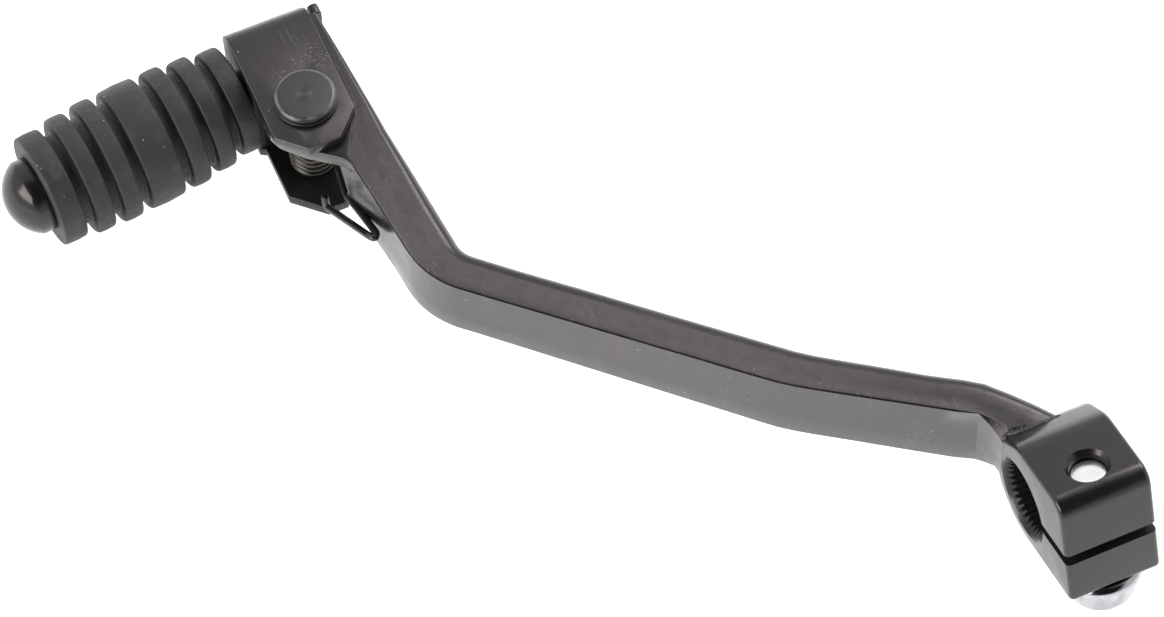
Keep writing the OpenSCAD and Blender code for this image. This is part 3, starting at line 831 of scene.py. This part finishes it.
# ribs of the sleeve: start, end and radius, with a groove between each two
RIBS = [(RUBBER[0], 11.65, 9.1), (13.3, 16.5, 9.77), (18.15, 21.35, 10.26), (22.98, 29.02, 10.5),
        (30.7, 33.9, 10.5), (35.54, 38.7, 10.2), (40.36, RUBBER[1], 9.6)]
SLEEVE_BORE_R = 4.99
prof = [(RUBBER[0], 5.0)]
for i, (a, b, r) in enumerate(RIBS):
    crown = 0.07 if b - a < 4.5 else 0.12
    if i:
        prof.append((a + 0.12, r - 1.85))
    prof += [(a, r - crown), ((a + b) / 2, r + crown * 0.5), (b, r - crown)]
    if i < len(RIBS) - 1:
        prof.append((b - 0.12, (r + RIBS[i + 1][2]) / 2 - 1.9))
prof.append((RUBBER[1], 5.0))
prof = rounded(prof, 0.5, 5)
bm = lathe([(RUBBER[0], SLEEVE_BORE_R)] + prof[1:-1] + [(RUBBER[1], SLEEVE_BORE_R)], AT_PEG, 128)
for v in bm.verts:
    q = v.co / MM
    v.co += Vector((0.05 * noise.noise(q * 0.33), 0, 0.07 * noise.noise(q * 0.21))) * MM
finish_mesh("sleeve_ribbed", bm, "toe_tip", M_RUBBER, 50, ("peg_rubber",))

# ---------------------------------------------------------------- floor
bm = bmesh.new()
bmesh.ops.create_grid(bm, x_segments=8, y_segments=8, size=6.0)
me = bpy.data.meshes.new("floor_pale")
bm.to_mesh(me)
bm.free()
floor = add_object("floor_pale", me)
floor.location = (-0.05, -0.04, CAD_BOX[0][2] - 0.0002)
k = Tree("floor_white")
k.link(k.mix(k.noise(3, 2), (0.50, 0.50, 0.50), (0.53, 0.53, 0.53)), k.bsdf.inputs["Base Color"])
for socket, value in (("Roughness", 0.9), ("Specular IOR Level", 0.1),
                      ("Emission Color", (1, 1, 1, 1)), ("Emission Strength", 1.15)):
    k.bsdf.inputs[socket].default_value = value
floor.data.materials.append(k.mat)

# ---------------------------------------------------------------- light
# the studio is white, and dark about one direction overhead
DARK_TOWARDS = (0.467, -0.178, 0.866)
world = bpy.data.worlds.new("studio")
bpy.context.scene.world = world
world.use_nodes = True
tree = world.node_tree
background = tree.nodes["Background"]
background.inputs["Color"].default_value = (1.0, 1.0, 1.0, 1)
coord = tree.nodes.new("ShaderNodeTexCoord")
dot = tree.nodes.new("ShaderNodeVectorMath")
dot.operation = "DOT_PRODUCT"
dot.inputs[1].default_value = DARK_TOWARDS
dim = tree.nodes.new("ShaderNodeMapRange")
dim.interpolation_type = "SMOOTHSTEP"
for socket, value in (("From Min", 0.58), ("From Max", 0.84), ("To Min", 1.0), ("To Max", 0.02)):
    dim.inputs[socket].default_value = value
tree.links.new(coord.outputs["Generated"], dot.inputs[0])
tree.links.new(dot.outputs["Value"], dim.inputs["Value"])
tree.links.new(dim.outputs["Result"], background.inputs["Strength"])


def area(name, at, aim, size, power):
    light = bpy.data.lights.new(name, "AREA")
    light.shape = "RECTANGLE"
    light.size, light.size_y = size
    light.energy = power
    ob = add_object(name, light)
    ob.location = at
    ob.rotation_euler = (Vector(aim) - Vector(at)).to_track_quat("-Z", "Y").to_euler()


MID = (-0.06, -0.045, 0.0)
area("back_soft", (-0.45, 0.60, 0.70), MID, (0.5, 0.5), 4)
area("bend_soft", (-0.208, 0.010, 0.295), (-0.060, -0.057, 0.007), (0.12, 0.12), 0.075)
area("front_soft", (0.10, -0.80, 0.42), MID, (0.7, 0.4), 5)

# ---------------------------------------------------------------- camera, fitted to the photo
CAMERA_AT = (0.3164, -0.1999, 0.6967)
CAMERA_TURN = (69.098, 59.976, -3.087)                  # azimuth, elevation and roll, in degrees
cam_data = bpy.data.cameras.new("cam")
cam_data.sensor_width = 36
cam_data.lens = 156.54
cam = add_object("cam", cam_data)
az, el, roll = (math.radians(v) for v in CAMERA_TURN)
back = Vector((math.sin(az) * math.cos(el), -math.cos(az) * math.cos(el), math.sin(el)))
level = Vector((math.cos(az), math.sin(az), 0))
up = back.cross(level)
cam_x = level * math.cos(roll) + up * math.sin(roll)
cam_y = up * math.cos(roll) - level * math.sin(roll)
place = Matrix((cam_x, cam_y, back)).transposed().to_4x4()
place.translation = Vector(CAMERA_AT)
cam.matrix_world = place
bpy.context.scene.camera = cam
bpy.context.scene.view_settings.view_transform = "Standard"
